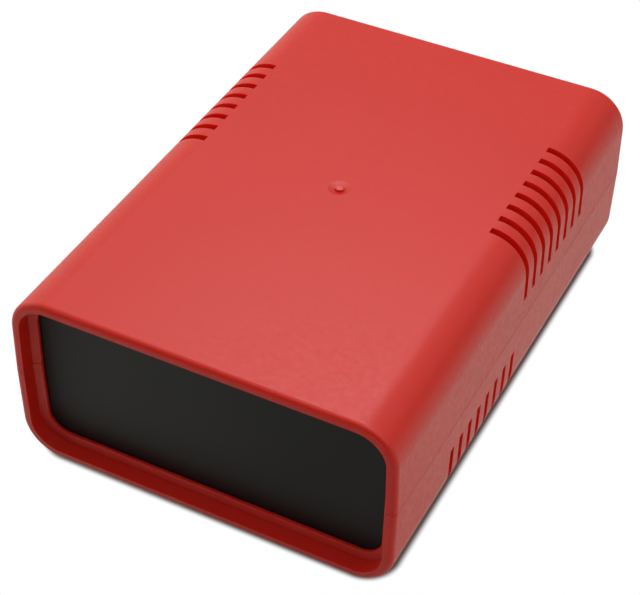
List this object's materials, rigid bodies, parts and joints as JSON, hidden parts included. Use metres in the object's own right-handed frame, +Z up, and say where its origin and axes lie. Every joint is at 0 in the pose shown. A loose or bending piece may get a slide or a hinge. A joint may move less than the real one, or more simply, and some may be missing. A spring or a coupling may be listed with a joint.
{
  "type": "enclosure box",
  "caption": "Moulded two-shell plastic enclosure box with rounded long corners, vent slots, recessed end panels, board posts and screws from below.",
  "frame": {"origin": "middle of the base, on the surface that the box stands on", "axes": "+X across the width to the right, seen from the front panel, +Y from the front panel to the rear panel, +Z up"},
  "size_m": [0.0952, 0.1358, 0.0476],
  "materials": {
    "shell": "fine moulded texture",
    "panel": "satin",
    "screw": "zinc plated"
  },
  "bodies": {
    "base": {"lower_shell": "shell", "front_panel": "panel", "rear_panel": "panel", "case_screws": "screw"},
    "top": {"upper_shell": "shell"}
  },
  "joints": [
    {"name": "lift_off", "type": "slide", "parent": "base", "child": "top", "axis": [0, 0, 1], "range_m": [0, 0.06]}
  ]
}
